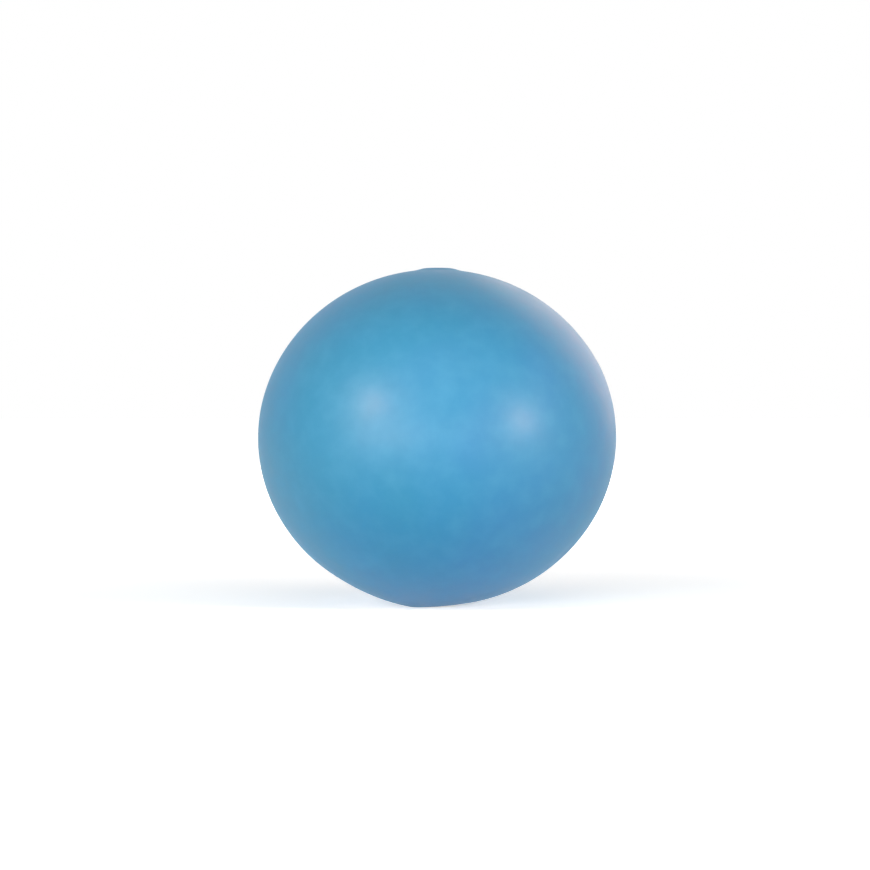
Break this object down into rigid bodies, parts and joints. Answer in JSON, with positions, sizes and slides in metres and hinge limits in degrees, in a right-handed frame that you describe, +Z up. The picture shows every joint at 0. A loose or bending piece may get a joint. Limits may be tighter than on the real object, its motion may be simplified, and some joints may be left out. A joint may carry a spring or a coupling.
{
  "type": "dog toy ball",
  "caption": "Hollow blue vinyl ball for a dog, a little flatter than it is wide, with a flat foot, a low crown pip and a press-in reed squeaker in its neck.",
  "frame": {"origin": "centre of the flat foot, on the surface the ball stands on", "axes": "+Z up through the crown pip; +Y is the wedge's side of the reed, and the picture looks along +Y"},
  "size_m": [0.07, 0.07, 0.0661],
  "materials": {
    "blue_vinyl": "satin",
    "white_plastic": "satin",
    "reed_film": "gloss"
  },
  "bodies": {
    "ball": {"ball_shell": "blue_vinyl", "squeaker_housing": "white_plastic", "squeaker_cap": "white_plastic", "reed_bed": "white_plastic", "reed_wedge": "white_plastic"},
    "reed": {"reed": "reed_film"}
  },
  "joints": [
    {"name": "reed_flex", "type": "hinge", "parent": "ball", "child": "reed", "pos_m": [0, 0, 0.007], "axis": [-1, 0, 0], "range_deg": [-4, 5], "stiffness_Nm_per_rad": 0.0039}
  ]
}
